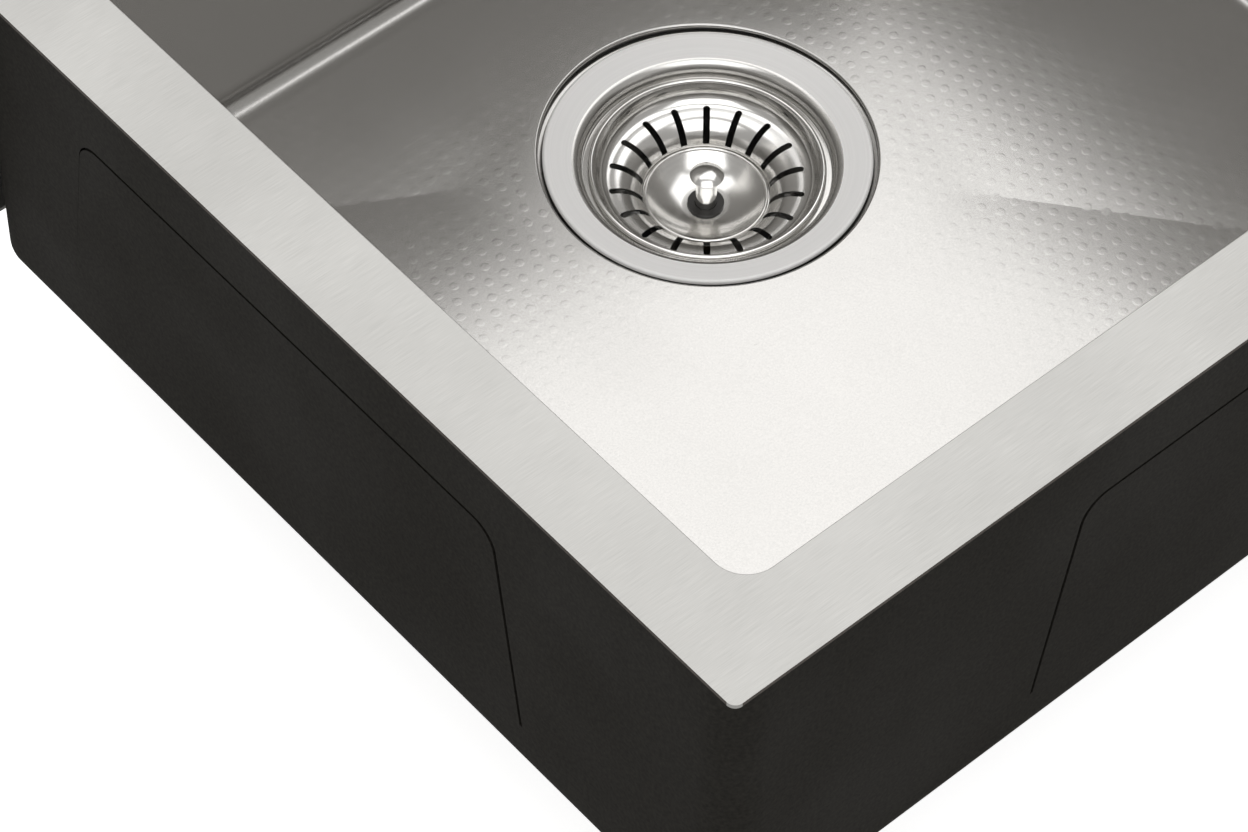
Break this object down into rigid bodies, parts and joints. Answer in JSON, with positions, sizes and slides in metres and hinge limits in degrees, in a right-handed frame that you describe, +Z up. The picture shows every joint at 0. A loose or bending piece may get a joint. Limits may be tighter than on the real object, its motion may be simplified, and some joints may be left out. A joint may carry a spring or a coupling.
{
  "type": "apron-front kitchen sink",
  "caption": "single-bowl stainless steel kitchen sink with a flat brushed rim, an apron front, a coated underside and a lift-out basket strainer with a push-down stopper",
  "frame": {"origin": "middle of the bowl's opening, on the top face of the rim", "axes": "+Z up out of the bowl, -Y toward the apron and whoever stands at the sink, +X to that person's right"},
  "size_m": [0.458, 0.44, 0.2629],
  "materials": {
    "brushed_stainless": "straight brushed",
    "satin_stainless": "satin",
    "polished_stainless": "polished",
    "sprayed_coat": "matt, fine grain",
    "sound_pad_rubber": "matt",
    "black_rubber": "smooth matt",
    "fibre_ring": "pressed fibre",
    "cast_zinc": "cast, dull",
    "dark_acetal": "moulded, smooth",
    "brass_fittings": "turned",
    "spring_clip": "bright spring steel"
  },
  "bodies": {
    "sink": {"rim_plate": "brushed_stainless", "sink_bowl": "satin_stainless", "apron_panel": "brushed_stainless", "undercoat": "sprayed_coat", "sound_pad_right": "sound_pad_rubber", "sound_pad_left": "sound_pad_rubber", "sound_pad_back": "sound_pad_rubber", "sound_pad_front": "sound_pad_rubber", "sound_pad_apron": "sound_pad_rubber", "strainer_body": "polished_stainless", "flange_gasket": "black_rubber", "rubber_washer": "black_rubber", "friction_ring": "fibre_ring", "lock_nut": "cast_zinc"},
    "basket": {"basket_cup": "polished_stainless", "basket_dish": "polished_stainless", "guide_bush": "dark_acetal", "bush_nut": "brass_fittings"},
    "stopper": {"stopper_post": "polished_stainless", "post_clip": "spring_clip", "stopper_plate": "satin_stainless", "rubber_stopper": "black_rubber", "post_nut": "brass_fittings"}
  },
  "joints": [
    {"name": "basket_lift", "type": "slide", "parent": "sink", "child": "basket", "axis": [0, 0, 1], "range_m": [0, 0.245]},
    {"name": "stopper_push", "type": "slide", "parent": "basket", "child": "stopper", "axis": [0, 0, 1], "range_m": [-0.009, 0]}
  ]
}
